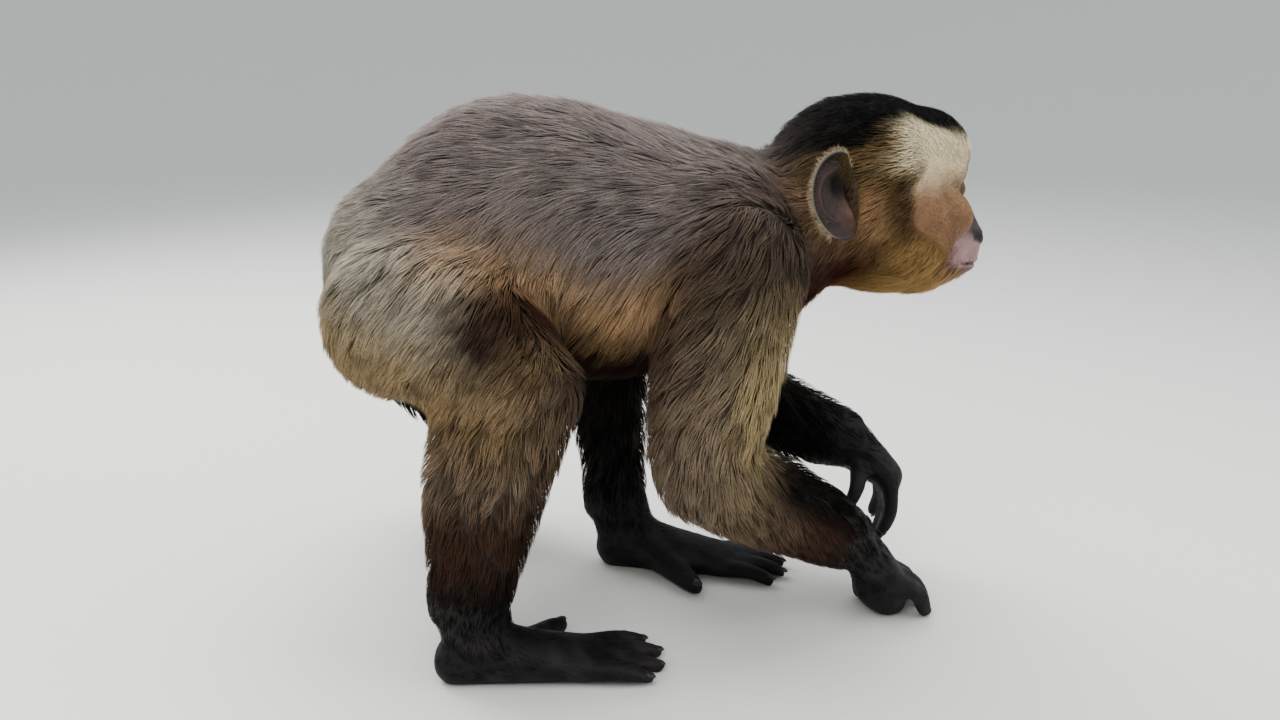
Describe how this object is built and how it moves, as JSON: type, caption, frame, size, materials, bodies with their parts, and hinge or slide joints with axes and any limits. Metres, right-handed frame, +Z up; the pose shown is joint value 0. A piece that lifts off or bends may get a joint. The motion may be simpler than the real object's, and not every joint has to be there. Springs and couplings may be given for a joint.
{
  "type": "capuchin monkey figure",
  "caption": "Life-size still model of a tufted capuchin monkey with a hunched back, leaning forward on a hand while the other hand hangs, tail curled behind.",
  "frame": {"origin": "middle of the bounding box's footprint, on the floor the animal stands on", "axes": "+X towards the nose along the body's length, +Y to the animal's left, +Z up"},
  "size_m": [0.373, 0.2412, 0.3023],
  "materials": {
    "fur_brown": "soft grey-brown fur",
    "fur_tan": "soft pale tan fur",
    "fur_black": "short blackish fur",
    "face_skin": "bare pinkish skin with fine down",
    "ear_skin": "thin grey-purple skin",
    "eye": "wet, dark brown"
  },
  "bodies": {
    "root": {"head": "face_skin", "neck": "fur_brown", "trunk": "fur_brown", "tail_base": "fur_black", "tail_middle": "fur_black", "tail_tip": "fur_black", "ear_right": "ear_skin", "ear_left": "ear_skin", "eye_right": "eye", "eye_left": "eye", "upper_arm_right": "fur_tan", "upper_arm_left": "fur_tan", "forearm_right": "fur_brown", "forearm_left": "fur_brown", "hand_right": "fur_black", "hand_left": "fur_black", "thigh_right": "fur_tan", "thigh_left": "fur_tan", "shank_right": "fur_brown", "shank_left": "fur_brown", "foot_right": "fur_black", "foot_left": "fur_black"}
  },
  "joints": []
}
